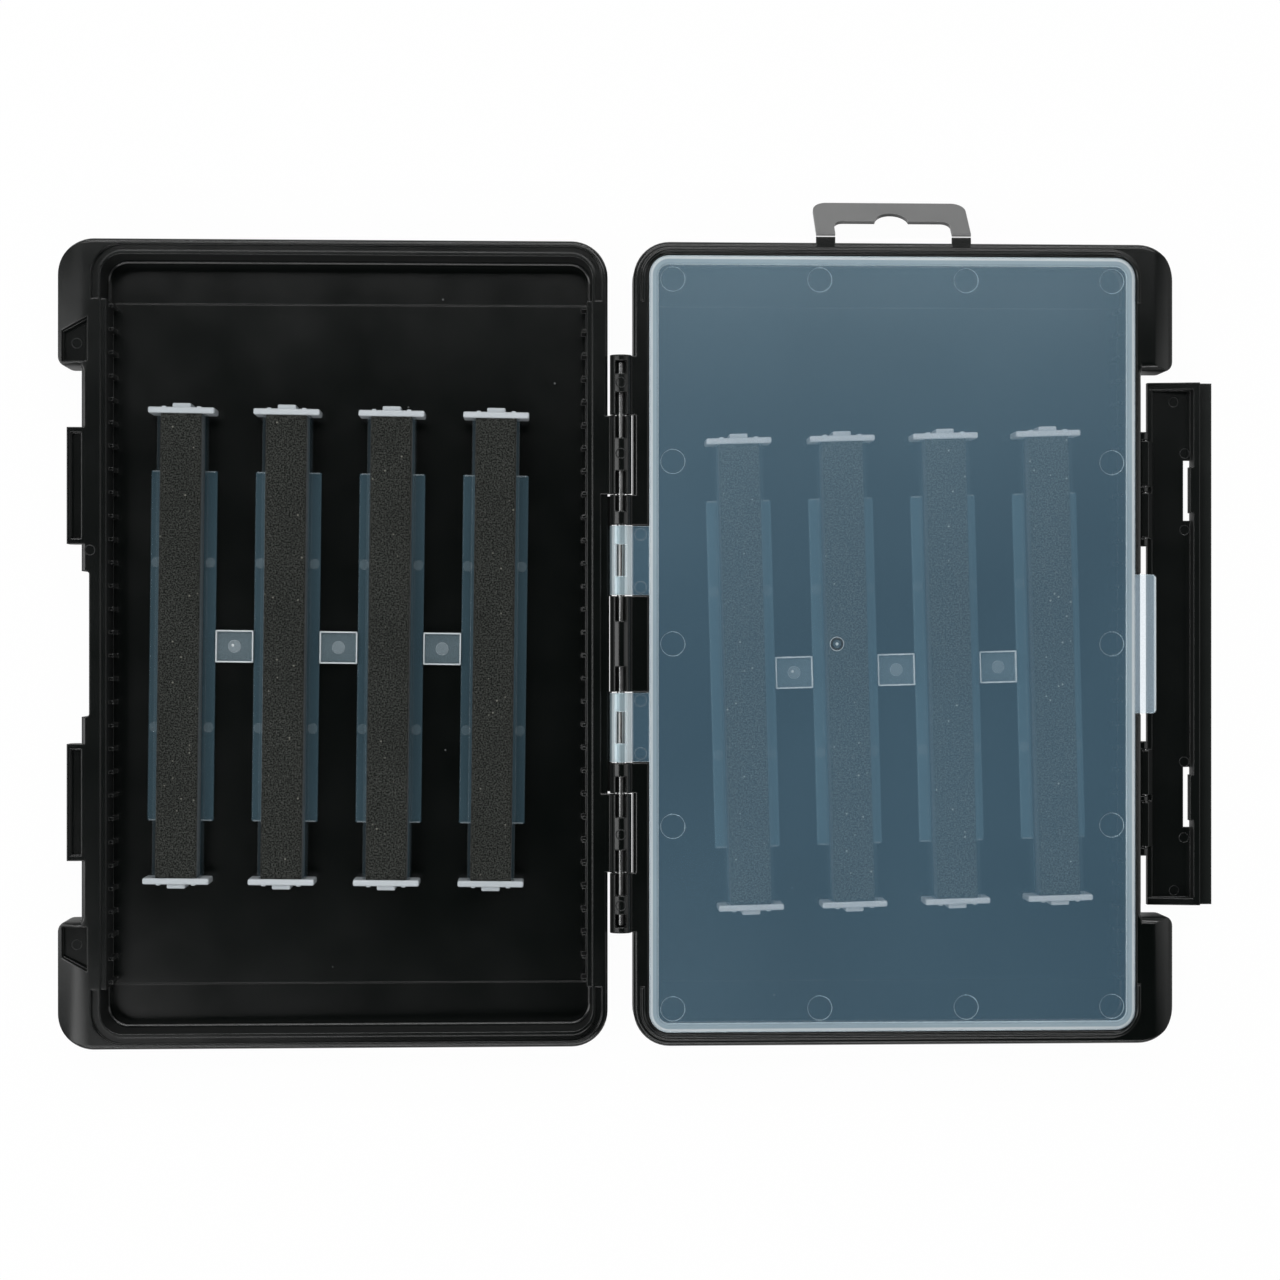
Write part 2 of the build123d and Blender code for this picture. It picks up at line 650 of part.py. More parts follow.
def rack_body(plane):
    """One moulding of bars with end plates, joined by framed tiles."""
    bar_height = flange_thickness + foam_height
    channel_width = foam_width + 2 * foam_side_gap + 2 * channel_wall
    plate_y = (foam_length + plate_thickness) / 2
    with BuildSketch(plane) as flanges:
        with GridLocations(rack_pitch, 0, bar_count, 1):
            RectangleRounded(flange_width, flange_length, flange_radius)
            Rectangle(channel_width, foam_length)
        with GridLocations(rack_pitch, 0, bar_count - 1, 1):
            Rectangle(rack_pitch - flange_width + flange_radius, tile_length)
    extrude(flanges.sketch, amount=flange_thickness)
    with BuildSketch(plane) as side_walls:
        with GridLocations(rack_pitch, 0, bar_count, 1):
            Rectangle(channel_width, foam_length)
            Rectangle(channel_width - 2 * channel_wall, foam_length, mode=Mode.SUBTRACT)
    extrude(side_walls.sketch, amount=channel_height)
    with BuildSketch(plane) as plates:
        with GridLocations(rack_pitch, 2 * plate_y, bar_count, 2):
            Rectangle(plate_width, plate_thickness)
    extrude(plates.sketch, amount=bar_height)
    tab_y = plate_y + (plate_thickness + plate_tab_depth) / 2
    with BuildSketch(plane) as plate_tabs:
        with GridLocations(rack_pitch, 2 * tab_y, bar_count, 2):
            Rectangle(plate_tab_width, plate_tab_depth)
    extrude(plate_tabs.sketch, amount=bar_height - plate_tab_drop)
    tile_width = rack_pitch - flange_width
    with BuildSketch(plane) as frames:
        with GridLocations(rack_pitch, 0, bar_count - 1, 1):
            Rectangle(tile_width, tile_length)
            Rectangle(tile_width - 2 * tile_frame, tile_length - 2 * tile_frame, mode=Mode.SUBTRACT)
            Circle(tile_mark_radius)
    extrude(frames.sketch, amount=flange_thickness + tile_frame_height)


def foam_strip(plane, index):
    """Foam block in the channel of one bar."""
    bar_x = (index - (bar_count - 1) / 2) * rack_pitch
    with BuildSketch(plane.offset(flange_thickness)) as strip:
        with Locations((bar_x, 0)):
            Rectangle(foam_width, foam_length)
    extrude(strip.sketch, amount=foam_height)


base_rack_plane = rack_plane(1, base_rack_shift, base_rack_y, base_rack_turn)
lid_rack_plane = rack_plane(-1, lid_rack_shift, lid_rack_y, lid_rack_turn)

with BuildPart() as base_rack:
    rack_body(base_rack_plane)

with BuildPart() as lid_rack:
    rack_body(lid_rack_plane)

pieces = {
    "base_tray": base_tray,
    "lid_tray": lid_tray,
    "inner_cover": inner_cover,
    "latch": latch,
    "hang_tab": hang_tab,
    "hinge_rod": hinge_rod,
    "base_rack": base_rack,
    "lid_rack": lid_rack,
}

for rack_name, plane in (("base", base_rack_plane), ("lid", lid_rack_plane)):
    for bar in range(bar_count):
        with BuildPart() as foam:
            foam_strip(plane, bar)
        pieces[f"{rack_name}_foam_{bar + 1}"] = foam

os.makedirs("parts", exist_ok=True)
for name, piece in pieces.items():
    piece.part.label = name
    export_step(piece.part, f"parts/{name}.step")
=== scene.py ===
import json
import math
import random

import bmesh
import bpy
from mathutils import Matrix, Vector


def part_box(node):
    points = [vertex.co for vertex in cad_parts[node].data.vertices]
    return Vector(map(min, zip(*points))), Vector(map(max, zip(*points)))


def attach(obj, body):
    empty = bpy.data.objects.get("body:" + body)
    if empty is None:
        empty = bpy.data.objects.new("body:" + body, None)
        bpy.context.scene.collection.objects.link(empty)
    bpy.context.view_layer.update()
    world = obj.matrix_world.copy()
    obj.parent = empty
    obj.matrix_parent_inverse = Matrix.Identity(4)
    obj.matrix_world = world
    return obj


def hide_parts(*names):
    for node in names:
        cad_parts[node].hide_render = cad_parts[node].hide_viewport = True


MM = 0.001

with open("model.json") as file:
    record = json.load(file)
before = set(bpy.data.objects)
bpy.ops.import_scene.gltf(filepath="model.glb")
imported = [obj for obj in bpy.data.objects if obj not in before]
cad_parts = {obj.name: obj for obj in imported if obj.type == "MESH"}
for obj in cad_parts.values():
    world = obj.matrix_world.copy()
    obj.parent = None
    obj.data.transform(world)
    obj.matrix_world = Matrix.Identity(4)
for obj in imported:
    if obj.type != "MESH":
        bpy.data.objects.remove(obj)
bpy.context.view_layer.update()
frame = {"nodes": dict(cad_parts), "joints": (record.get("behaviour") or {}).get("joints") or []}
NODES = frame["nodes"]
JOINTS = {joint["name"]: joint for joint in frame["joints"]}

# Places from the frame, in metres
HINGE_X, _, HINGE_Z = JOINTS["lid_hinge"]["pos_m"]

# Camera, fitted to the photograph: it stands over the hinge and looks a little to the right
CAMERA_PLACE = Vector((-89.12, 1.0, 648.0)) * MM
CAMERA_TURN = math.radians(-2.3)
CAMERA_LENS = 70.3
SENSOR_WIDTH = 36.0

# Racks: flanges, channels, end plates with their tabs and nubs, and tiles
FLANGE_WIDTH = 16.9 * MM
FLANGE_LENGTH = 89.8 * MM
FLANGE_THICKNESS = 1.0 * MM
RACK_PITCH = 26.6 * MM
BAR_COUNT = 4
WALL = 0.75 * MM
WALL_HEIGHT = 8.0 * MM
PLATE_WIDTH = 16.8 * MM
PLATE_THICKNESS = 1.6 * MM
TILE_LENGTH = 8.3 * MM
FLANGE_ROUND = 0.3 * MM
# Strips across the flanges' ends, in a pale look: painted highlights of the ends
BAND_WIDTH = 0.35 * MM
BAND_INSET = 0.4 * MM
BAND_RISE = 0.1 * MM
BAND_ROUND = 0.05 * MM
CHANNEL_GAP = 0.05 * MM
CHANNEL_FLOOR = 0.9 * MM
PLATE_ROUND = 0.45 * MM
PLATE_OVERLAP = 0.4 * MM
PLATE_TAB_HALF = 2.35 * MM
PLATE_TAB_DEPTH = 1.1 * MM
PLATE_TAB_DROP = 1.0 * MM
PLATE_TAB_ROUND = 0.35 * MM
NUB_PLACE = 4.45 * MM
NUB_HALF = 0.55 * MM
NUB_DEPTH = 0.25 * MM
NUB_DROP = 0.3 * MM
NUB_ROUND = 0.2 * MM
TILE_FRAME_WIDTH = 0.36 * MM
TILE_FRAME_RISE = 0.5 * MM
TILE_ROUND = 0.1 * MM
TILE_MARK_RADIUS = 1.6 * MM
TILE_MARK_HEIGHT = 0.2 * MM
TILE_TIP_PLACE = (-0.4 * MM, 0.3 * MM)
TILE_TIP_RADIUS = 0.35 * MM
TILE_TIP_HEIGHT = 0.35 * MM
TILE_TIP_ROUND = 0.1 * MM
FLANGE_MARK_HEIGHT = 0.16 * MM
MARK_SINK = 0.1 * MM
MARK_ROUND = 0.05 * MM

# Foam strips: soft edges, rows along them and how uneven their cut is
FOAM_ROUND = 0.5 * MM
FOAM_STEP = 1.4 * MM
FOAM_CROWN = 0.07 * MM
FOAM_DRIFT = 0.03 * MM
FOAM_WAIST = 0.004
FOAM_WAVES = 90

# Inner cover. The rings' sizes are width and height, and places of marks in pairs are in mm
COVER_PLATE_Z = 11.9 * MM
COVER_RIM_WIDTH = 2.3 * MM
COVER_RIM_FOOT = 11.0 * MM
COVER_RIM_TOP = 12.3 * MM
COVER_RIM_SKIN = 0.03 * MM
COVER_RADIUS = 5.1 * MM
COVER_HALF = 99.0 * MM
COVER_BACK = HINGE_X + 7.3 * MM
COVER_FRONT = HINGE_X + 132.1 * MM
TAB_END = HINGE_X + 137.6 * MM
GATE_PLACE = ((COVER_BACK + COVER_FRONT) / 2 - 14.4 * MM, 0.0, COVER_PLATE_Z)
LUG_BARREL_FRONT = HINGE_X + 2.9 * MM
LUG_MARKS = ((-63.4, 27.9), (-63.4, 14.4), (-63.4, -14.4), (-63.4, -27.9))
LUG_MARK_RADIUS = 1.5 * MM
LUG_MARK_SIZE = (0.25 * MM, 0.03 * MM)
GATE_DARK_RADIUS = 1.35 * MM
GATE_DARK_SIZE = (0.6 * MM, 0.06 * MM)
GATE_PALE_RADIUS = 1.75 * MM
GATE_PALE_SIZE = (0.18 * MM, 0.06 * MM)
GATE_TIP_RADIUS = 0.4 * MM
GATE_TIP_HEIGHT = 0.1 * MM
GATE_TIP_ROUND = 0.06 * MM

# Marks that the mould's pins leave: places and heights of the faces they are on; pairs and triples are in mm
PIN_MARK_RADIUS = 1.25 * MM
PIN_MARK_SIZE = (0.3 * MM, 0.02 * MM)
LATCH_MARKS = ((76.2, 63.1), (79.2, 49.7), (79.2, 29.7), (79.1, -30.8), (79.0, -50.6), (76.4, -64.4))
LATCH_MARK_Z = 1.4 * MM
LID_MARKS = ((-202.5, 23.7, 12.4), (-206.3, 76.2, 9.4), (-206.3, -76.2, 9.4))
BARREL_RADIUS = 2.75 * MM
BASE_KNUCKLE_MARKS = (66.3, -66.3)
LID_KNUCKLE_MARKS = (48.3, -48.3)
FLANGE_MARKS = ((6.9, 21.4), (-6.9, 21.4), (6.9, -20.9), (-6.9, -20.9))

# Outer band of the latch, which is paler towards its outer edge
LATCH_BAND_FROM = 82.6 * MM
LATCH_BAND_WIDTH = 3.5 * MM
LATCH_BAND_COLOUR = (0.012, 0.0138, 0.0130)

# Material slots of a rack piece
BODY_SLOT, RIM_SLOT, PLATE_SLOT, TILE_SLOT, MARK_SLOT, WALL_SLOT, FRAME_SLOT = range(7)

# Floor and world
FLOOR_GREY = 0.82
FLOOR_WHITE_SHARE = 0.975
FLOOR_HALF = 4.0
FLOOR_DROP = 0.1 * MM
GLOW_HIGH = 0.85
GLOW_LOW = 0.35
GLOW_STRENGTH = 0.35

# Lights: name, place and size in metres, power in watts
LIGHTS = (
    ("strip_top", (-0.07, 0.93, 0.76), (1.2, 0.12), 5.2),
    ("strip_bottom", (-0.07, -0.93, 0.76), (1.2, 0.12), 3.8),
    ("overhead_top", (-0.07, 0.385, 0.85), (1.1, 0.16), 2.5),
    ("overhead_bottom", (-0.22, -0.42, 0.85), (0.95, 0.2), 1.7),
    ("softbox_left", (-0.95, 0.0, 0.85), (0.4, 1.0), 4.0),
    ("softbox_right", (0.95, 0.0, 0.7), (0.4, 1.0), 1.2),
)

# Black plastic: steep faces are rough, so that no light gleams on them
SIDE_ROUGHNESS = 0.6
# Colour of the edges: partly wear and partly a painted highlight along the rounded edges
EDGE_WEAR_AND_HIGHLIGHT = (0.018, 0.020, 0.019)
SCRATCH_COLOUR = (0.030, 0.032, 0.032)
DUST_COLOUR = (0.2, 0.21, 0.21)
# Pin mark rings: paler than the shell, a painted highlight on them
MARK_LOOK_WITH_HIGHLIGHT = ((0.008, 0.009, 0.009), (0.014, 0.015, 0.015), (0.03, 0.032, 0.032), 0.30)

# Inner cover: tints and added opacity of its plate, finger tab, hinge barrels, edges and dust; the finger
# tab's pale tint is painted light, for the white floor's light shining through it
COVER_TINT = ((0.104, 0.226, 0.332), (0.117, 0.247, 0.357))
COVER_TAB_BACKLIGHT_TINT = (0.66, 0.85, 1.0)
COVER_BARREL_TINT = (0.29, 0.38, 0.42)
# Pale edge tint: painted light gathered in the cover's edges
COVER_EDGE_LIGHT_TINT = (0.74, 0.80, 0.83)
COVER_DUST_TINT = (0.6, 0.68, 0.72)
COVER_ALPHA = 0.222
COVER_CLOUD_ALPHA = 0.02
COVER_TAB_ALPHA = 0.02
COVER_BARREL_ALPHA = 0.3
COVER_EDGE_ALPHA = 0.45
COVER_DUST_ALPHA = 0.5
COVER_ROUGHNESS = 0.29
COVER_IOR = 2.1
COVER_GLOSS_TINT = (0.72, 0.92, 1.0, 1.0)

# Foam, hang tab and rod
FOAM_COLOURS = ((0.0040, 0.0045, 0.0039), (0.049, 0.053, 0.048), (0.086, 0.090, 0.082), (0.30, 0.30, 0.26))
# Foam strips under the cover: a lighter copy of the foam, painted light
FOAM_PAINTED_LIGHT_UNDER_COVER = 1.55
# Hang tab: grey that paints the reflection of the white backdrop in the steep glossy sheet, and a paler
# painted highlight on its edges
SHEET_REFLECTION_GREYS = ((0.130, 0.132, 0.132), (0.152, 0.154, 0.153))
SHEET_EDGE_HIGHLIGHT = (0.42, 0.42, 0.42)
STEEL_COLOURS = ((0.27, 0.275, 0.275), (0.42, 0.425, 0.42))

# Milky plastics: two tints, opacity and its change, roughness, colour of the edges and their added opacity
EDGE_PALE = (0.70, 0.76, 0.80)
RACK_TINT = ((0.130, 0.245, 0.315), (0.152, 0.275, 0.348))
RACK_EDGE = (0.30, 0.42, 0.48)
MILKY = {
    "frosted_rim": ((0.54, 0.60, 0.63), (0.62, 0.67, 0.69), 0.77, 0.06, 0.22, EDGE_PALE, 0.1),
    "frosted_rim_foot": ((0.36, 0.46, 0.52), (0.41, 0.51, 0.56), 0.60, 0.06, 0.22, EDGE_PALE, 0.1),
    "frosted_gate": ((0.012, 0.02, 0.025), (0.015, 0.024, 0.03), 0.40, 0.05, 0.25, (0.02, 0.03, 0.04), 0.1),
    "frosted_gate_tip": ((0.55, 0.62, 0.66), (0.6, 0.67, 0.7), 0.45, 0.05, 0.25, EDGE_PALE, 0.2),
    "clear_rack": (*RACK_TINT, 0.155, 0.03, 0.22, RACK_EDGE, 0.08),
    # Rack under the cover: a more opaque copy that paints it lighter, painted light
    "clear_rack_painted_lit": (*RACK_TINT, 0.28, 0.03, 0.22, RACK_EDGE, 0.08),
    # Pale strips at the flange ends, painted highlights; the tiles' round marks use this look too
    "clear_rack_edge": ((0.40, 0.48, 0.52), (0.48, 0.56, 0.60), 0.18, 0.05, 0.25, EDGE_PALE, 0.05),
    "clear_rack_plate": ((0.50, 0.55, 0.58), (0.56, 0.60, 0.63), 0.86, 0.06, 0.30, EDGE_PALE, 0.05),
    "clear_rack_tile": ((0.24, 0.34, 0.39), (0.28, 0.38, 0.43), 0.23, 0.03, 0.28, EDGE_PALE, 0.2),
    "clear_rack_mark": ((0.30, 0.40, 0.45), (0.40, 0.48, 0.52), 0.07, 0.05, 0.25, EDGE_PALE, 0.1),
    "clear_rack_wall": ((0.17, 0.26, 0.31), (0.20, 0.29, 0.34), 0.05, 0.03, 0.25, EDGE_PALE, 0.03),
    "clear_rack_frame": ((0.66, 0.71, 0.74), (0.72, 0.77, 0.79), 0.9, 0.05, 0.3, EDGE_PALE, 0.05),
}


# Helpers for meshes

def add_piece(name, mesh, body, materials, smooth=True):
    """Object from a bmesh that rides on a body."""
    data = bpy.data.meshes.new(name)
    mesh.to_mesh(data)
    mesh.free()
    for material in materials:
        data.materials.append(material)
    if smooth:
        for polygon in data.polygons:
            polygon.use_smooth = True
    piece = bpy.data.objects.new(name, data)
    bpy.context.scene.collection.objects.link(piece)
    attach(piece, body)
    return piece


def add_block(mesh, low, high, rounding, slot, segments=2):
    """Box with rounded edges, from its lowest to its highest corner."""
    before = set(mesh.faces)
    size = [high[i] - low[i] for i in range(3)]
    middle = [(high[i] + low[i]) / 2 for i in range(3)]
    made = bmesh.ops.create_cube(mesh, size=1.0)["verts"]
    bmesh.ops.scale(mesh, verts=made, vec=size)
    bmesh.ops.translate(mesh, verts=made, vec=middle)
    if rounding > 0:
        edges = list({edge for vert in made for edge in vert.link_edges})
        rounding = min(rounding, 0.45 * min(size))
        bmesh.ops.bevel(mesh, geom=edges, offset=rounding, segments=segments, profile=0.5, affect="EDGES")
    for face in mesh.faces:
        if face not in before:
            face.material_index = slot


def add_disc(mesh, centre, radius, height, rounding, slot=0, sides=32):
    """Low round boss with a rounded upper edge, standing on centre."""
    rings = [(radius, 0.0), (radius, height - rounding), (radius - 0.3 * rounding, height - 0.3 * rounding),
             (radius - rounding, height)]
    loops = []
    for ring_radius, ring_height in rings:
        loop = []
        for step in range(sides):
            angle = 2 * math.pi * step / sides
            loop.append(mesh.verts.new((centre[0] + ring_radius * math.cos(angle),
                                        centre[1] + ring_radius * math.sin(angle),
                                        centre[2] + ring_height)))
        loops.append(loop)
    for lower, upper in zip(loops, loops[1:]):
        for step in range(sides):
            after = (step + 1) % sides
            face = mesh.faces.new((lower[step], lower[after], upper[after], upper[step]))
            face.material_index = slot
    mesh.faces.new(loops[-1]).material_index = slot
    mesh.faces.new(list(reversed(loops[0]))).material_index = slot


def add_ring(mesh, centre, radius, width, height, slot=0, sides=48, barrel=0.0):
    """Thin raised ring with a half-round section, on a flat face or on top of a barrel along Y."""
    section = [(-width / 2, 0.0), (-width * 0.35, height * 0.7), (0.0, height), (width * 0.35, height * 0.7),
               (width / 2, 0.0)]
    loops = []
    for step in range(sides):
        angle = 2 * math.pi * step / sides
        loop = []
        for across, up in section:
            along_x = (radius + across) * math.cos(angle)
            along_y = (radius + across) * math.sin(angle)
            drop = barrel - math.sqrt(barrel ** 2 - along_x ** 2) if barrel > 0 else 0.0
            loop.append(mesh.verts.new((centre[0] + along_x, centre[1] + along_y, centre[2] + up - drop)))
        loops.append(loop)
    for step in range(sides):
        here, there = loops[step], loops[(step + 1) % sides]
        for corner in range(len(section)):
            after = (corner + 1) % len(section)
            face = mesh.faces.new((here[corner], there[corner], there[after], here[after]))
            face.material_index = slot


def rounded_outline(low_x, high_x, half_y, radius, steps=10):
    """Points round a rectangle with rounded corners, with the direction outwards at each point."""
    corners = [(high_x - radius, half_y - radius, 0), (low_x + radius, half_y - radius, 90),
               (low_x + radius, -half_y + radius, 180), (high_x - radius, -half_y + radius, 270)]
    points = []
    for centre_x, centre_y, start in corners:
        for step in range(steps + 1):
            angle = math.radians(start + 90 * step / steps)
            out = Vector((math.cos(angle), math.sin(angle), 0))
            points.append((Vector((centre_x, centre_y, 0)) + radius * out, out))
    return points


# Helpers for materials

def start_material(name):
    """Node material with its Principled shader and object coordinates."""
    material = bpy.data.materials.new(name)
    material.use_nodes = True
    tree = material.node_tree
    shader = next(node for node in tree.nodes if node.type == "BSDF_PRINCIPLED")
    place = tree.nodes.new("ShaderNodeTexCoord")
    return material, tree, shader, place


def noise(tree, place, scale, detail=2.0, roughness=0.5, stretch=(1, 1, 1)):
    """Noise texture in object coordinates; scale is in features per metre."""
    mapping = tree.nodes.new("ShaderNodeMapping")
    mapping.inputs["Scale"].default_value = stretch
    tree.links.new(place.outputs["Object"], mapping.inputs["Vector"])
    texture = tree.nodes.new("ShaderNodeTexNoise")
    texture.inputs["Scale"].default_value = scale
    texture.inputs["Detail"].default_value = detail
    texture.inputs["Roughness"].default_value = roughness
    tree.links.new(mapping.outputs["Vector"], texture.inputs["Vector"])
    return texture.outputs["Fac"]


def remap(tree, value, low, high, new_low, new_high):
    """Clamped map of a value from one range to another."""
    node = tree.nodes.new("ShaderNodeMapRange")
    node.inputs["From Min"].default_value = low
    node.inputs["From Max"].default_value = high
    node.inputs["To Min"].default_value = new_low
    node.inputs["To Max"].default_value = new_high
    tree.links.new(value, node.inputs["Value"])
    return node.outputs["Result"]


def blend_colours(tree, factor, first, second):
    """Mix of two colours, each a colour or a socket."""
    node = tree.nodes.new("ShaderNodeMix")
    node.data_type = "RGBA"
    tree.links.new(factor, node.inputs["Factor"])
    sockets = [socket for socket in node.inputs if socket.type == "RGBA"]
    for socket, colour in zip(sockets, (first, second)):
        if isinstance(colour, tuple):
            socket.default_value = colour + (1.0,)
        else:
            tree.links.new(colour, socket)
    return next(socket for socket in node.outputs if socket.type == "RGBA")


def along_axis(tree, socket, axis):
    """One component of a vector."""
    split = tree.nodes.new("ShaderNodeSeparateXYZ")
    tree.links.new(socket, split.inputs["Vector"])
    return split.outputs[axis]


def maths(tree, operation, first, second=None):
    """Math node on sockets or numbers."""
    node = tree.nodes.new("ShaderNodeMath")
    node.operation = operation
    for socket, value in zip(node.inputs, (first, second)):
        if value is None:
            continue
        if isinstance(value, (int, float)):
            socket.default_value = value
        else:
            tree.links.new(value, socket)
    return node.outputs["Value"]


def specks(tree, place, per_metre, size, share):
    """Small sharp specks: 1 in a speck and 0 elsewhere. share is the part of the cells that hold one."""
    cells = tree.nodes.new("ShaderNodeTexVoronoi")
    cells.inputs["Scale"].default_value = per_metre
    tree.links.new(place.outputs["Object"], cells.inputs["Vector"])
    near = remap(tree, cells.outputs["Distance"], size, 0.5 * size, 0.0, 1.0)
    split = tree.nodes.new("ShaderNodeSeparateColor")
    tree.links.new(cells.outputs["Color"], split.inputs["Color"])
    chosen = maths(tree, "LESS_THAN", split.outputs["Red"], share)
    return maths(tree, "MULTIPLY", near, chosen)


def rounded_edges(tree, radius, samples=8):
    """Normal that looks rounded along the edges, and a mask that is 1 on them and 0 elsewhere."""
    bevel = tree.nodes.new("ShaderNodeBevel")
    bevel.samples = samples
    bevel.inputs["Radius"].default_value = radius
    surface = tree.nodes.new("ShaderNodeNewGeometry")
    turn = tree.nodes.new("ShaderNodeVectorMath")
    turn.operation = "DOT_PRODUCT"
    tree.links.new(bevel.outputs["Normal"], turn.inputs[0])
    tree.links.new(surface.outputs["Normal"], turn.inputs[1])
    return bevel.outputs["Normal"], remap(tree, turn.outputs["Value"], 0.97, 0.80, 0.0, 1.0)


def set_bump(tree, shader, heights, normal=None):
    """Bump from (height socket, strength, distance) tuples, on top of a normal."""
    for height, strength, distance in heights:
        bump = tree.nodes.new("ShaderNodeBump")
        bump.inputs["Strength"].default_value = strength
        bump.inputs["Distance"].default_value = distance
        tree.links.new(height, bump.inputs["Height"])
        if normal is not None:
            tree.links.new(normal, bump.inputs["Normal"])
        normal = bump.outputs["Normal"]
    tree.links.new(normal, shader.inputs["Normal"])


def black_plastic(name, dark, light, edge_colour, roughness, pale_from=None):
    """Moulded black plastic with a fine grain, uneven gloss, edges paler from wear and a painted highlight, a
    few fine scratches and dust.

    Beyond a given place along X it grows paler outwards.
    """
    material, tree, shader, place = start_material(name)
    normal, edges = rounded_edges(tree, 0.4 * MM)
    slow = noise(tree, place, 26, 3.0, 0.55)
    colour = blend_colours(tree, remap(tree, slow, 0.35, 0.7, 0.0, 1.0), dark, light)
    wear_and_sheen = remap(tree, noise(tree, place, 160, 3.0, 0.6), 0.3, 0.7, 0.35, 1.0)
    # Paler, uneven edges: wear and a painted highlight on them
    colour = blend_colours(tree, maths(tree, "MULTIPLY", edges, wear_and_sheen), colour, edge_colour)
    scratches = noise(tree, place, 30, 4.0, 0.6, (1.0, 34.0, 1.0))
    lines = remap(tree, scratches, 0.72, 0.8, 0.0, 0.35)
    colour = blend_colours(tree, lines, colour, SCRATCH_COLOUR)
    dust = specks(tree, place, 105, 0.035, 0.16)
    colour = blend_colours(tree, maths(tree, "MULTIPLY", dust, 0.5), colour, DUST_COLOUR)
    if pale_from is not None:
        along = along_axis(tree, place.outputs["Object"], "X")
        paler_outwards = remap(tree, along, pale_from, pale_from + LATCH_BAND_WIDTH, 0.3, 1.0)
        beyond = maths(tree, "GREATER_THAN", along, pale_from)
        colour = blend_colours(tree, maths(tree, "MULTIPLY", paler_outwards, beyond), colour, LATCH_BAND_COLOUR)
    tree.links.new(colour, shader.inputs["Base Color"])
    uneven = remap(tree, noise(tree, place, 55, 3.0, 0.6), 0.3, 0.75, roughness - 0.02, roughness + 0.03)
    upward = maths(tree, "ABSOLUTE", along_axis(tree, place.outputs["Normal"], "Z"))
    steep = remap(tree, upward, 0.5, 0.1, 0.0, SIDE_ROUGHNESS - roughness)
    tree.links.new(maths(tree, "ADD", uneven, steep), shader.inputs["Roughness"])
    shader.inputs["Specular IOR Level"].default_value = 0.5
    grain = noise(tree, place, 2600, 2.0, 0.6)
    set_bump(tree, shader, [(slow, 0.06, 0.4 * MM), (grain, 0.06, 0.05 * MM)], normal)
    return material


def milky_look(tree, place, colour, pale):
    """Slightly clouded tint, and the cloud itself from 0 to 1."""
    cloud = remap(tree, noise(tree, place, 14, 2.0, 0.5), 0.3, 0.7, 0.0, 1.0)
    return blend_colours(tree, cloud, colour, pale), cloud


def milky_plastic(name, colour, pale, alpha, alpha_change, roughness, edge_colour, edge_alpha):
    """Translucent milky plastic: what lies under it shows through, and light gathers in its edges."""
    material, tree, shader, place = start_material(name)
    normal, edges = rounded_edges(tree, 0.15 * MM)
    tint, cloud = milky_look(tree, place, colour, pale)
    tint = blend_colours(tree, edges, tint, edge_colour)
    cover = maths(tree, "ADD", maths(tree, "MULTIPLY", cloud, alpha_change), alpha)
    cover = maths(tree, "ADD", cover, maths(tree, "MULTIPLY", edges, edge_alpha))
    tree.links.new(tint, shader.inputs["Base Color"])
    tree.links.new(cover, shader.inputs["Alpha"])
    shader.inputs["Roughness"].default_value = roughness
    fine = noise(tree, place, 900, 2.0, 0.5)
    set_bump(tree, shader, [(fine, 0.05, 0.05 * MM)], normal)
    return material


def cover_material(name):
    """Milky plastic of the inner cover: bluish plate, and pale hinge barrels, finger tab and edges; the pale
    of the tab and of the edges is painted light.
    """
    material, tree, shader, place = start_material(name)
    normal, edges = rounded_edges(tree, 0.3 * MM)
    along = along_axis(tree, place.outputs["Object"], "X")
    tab = remap(tree, along, COVER_FRONT, COVER_FRONT + 0.1 * MM, 0.0, 1.0)
    tip = remap(tree, along, TAB_END - 0.4 * MM, TAB_END - 0.3 * MM, 0.0, 1.0)
    edges = maths(tree, "MAXIMUM", edges, tip)
    barrel = remap(tree, along, LUG_BARREL_FRONT, LUG_BARREL_FRONT - 0.2 * MM, 0.0, 1.0)
    tint, cloud = milky_look(tree, place, *COVER_TINT)
    # Finger tab: pale tint painted for the light from the white floor shining through it
    tint = blend_colours(tree, tab, tint, COVER_TAB_BACKLIGHT_TINT)
    tint = blend_colours(tree, barrel, tint, COVER_BARREL_TINT)
    # Edges and the tab's tip: pale, painted light gathered in them
    tint = blend_colours(tree, edges, tint, COVER_EDGE_LIGHT_TINT)
    alpha = maths(tree, "ADD", maths(tree, "MULTIPLY", cloud, COVER_CLOUD_ALPHA), COVER_ALPHA)
    alpha = maths(tree, "SUBTRACT", alpha, maths(tree, "MULTIPLY", tab, COVER_TAB_ALPHA))
    alpha = maths(tree, "ADD", alpha, maths(tree, "MULTIPLY", barrel, COVER_BARREL_ALPHA))
    alpha = maths(tree, "ADD", alpha, maths(tree, "MULTIPLY", edges, COVER_EDGE_ALPHA))
    dust = maths(tree, "MULTIPLY", specks(tree, place, 120, 0.045, 0.10), 0.8)
    tint = blend_colours(tree, dust, tint, COVER_DUST_TINT)
    alpha = maths(tree, "ADD", alpha, maths(tree, "MULTIPLY", dust, COVER_DUST_ALPHA))
    tree.links.new(tint, shader.inputs["Base Color"])
    tree.links.new(alpha, shader.inputs["Alpha"])
    shader.inputs["Roughness"].default_value = COVER_ROUGHNESS
    shader.inputs["IOR"].default_value = COVER_IOR
    shader.inputs["Specular IOR Level"].default_value = 1.0
    shader.inputs["Specular Tint"].default_value = COVER_GLOSS_TINT
    fine = noise(tree, place, 400, 1.0, 0.5)
    set_bump(tree, shader, [(fine, 0.015, 0.05 * MM)], normal)
    return material


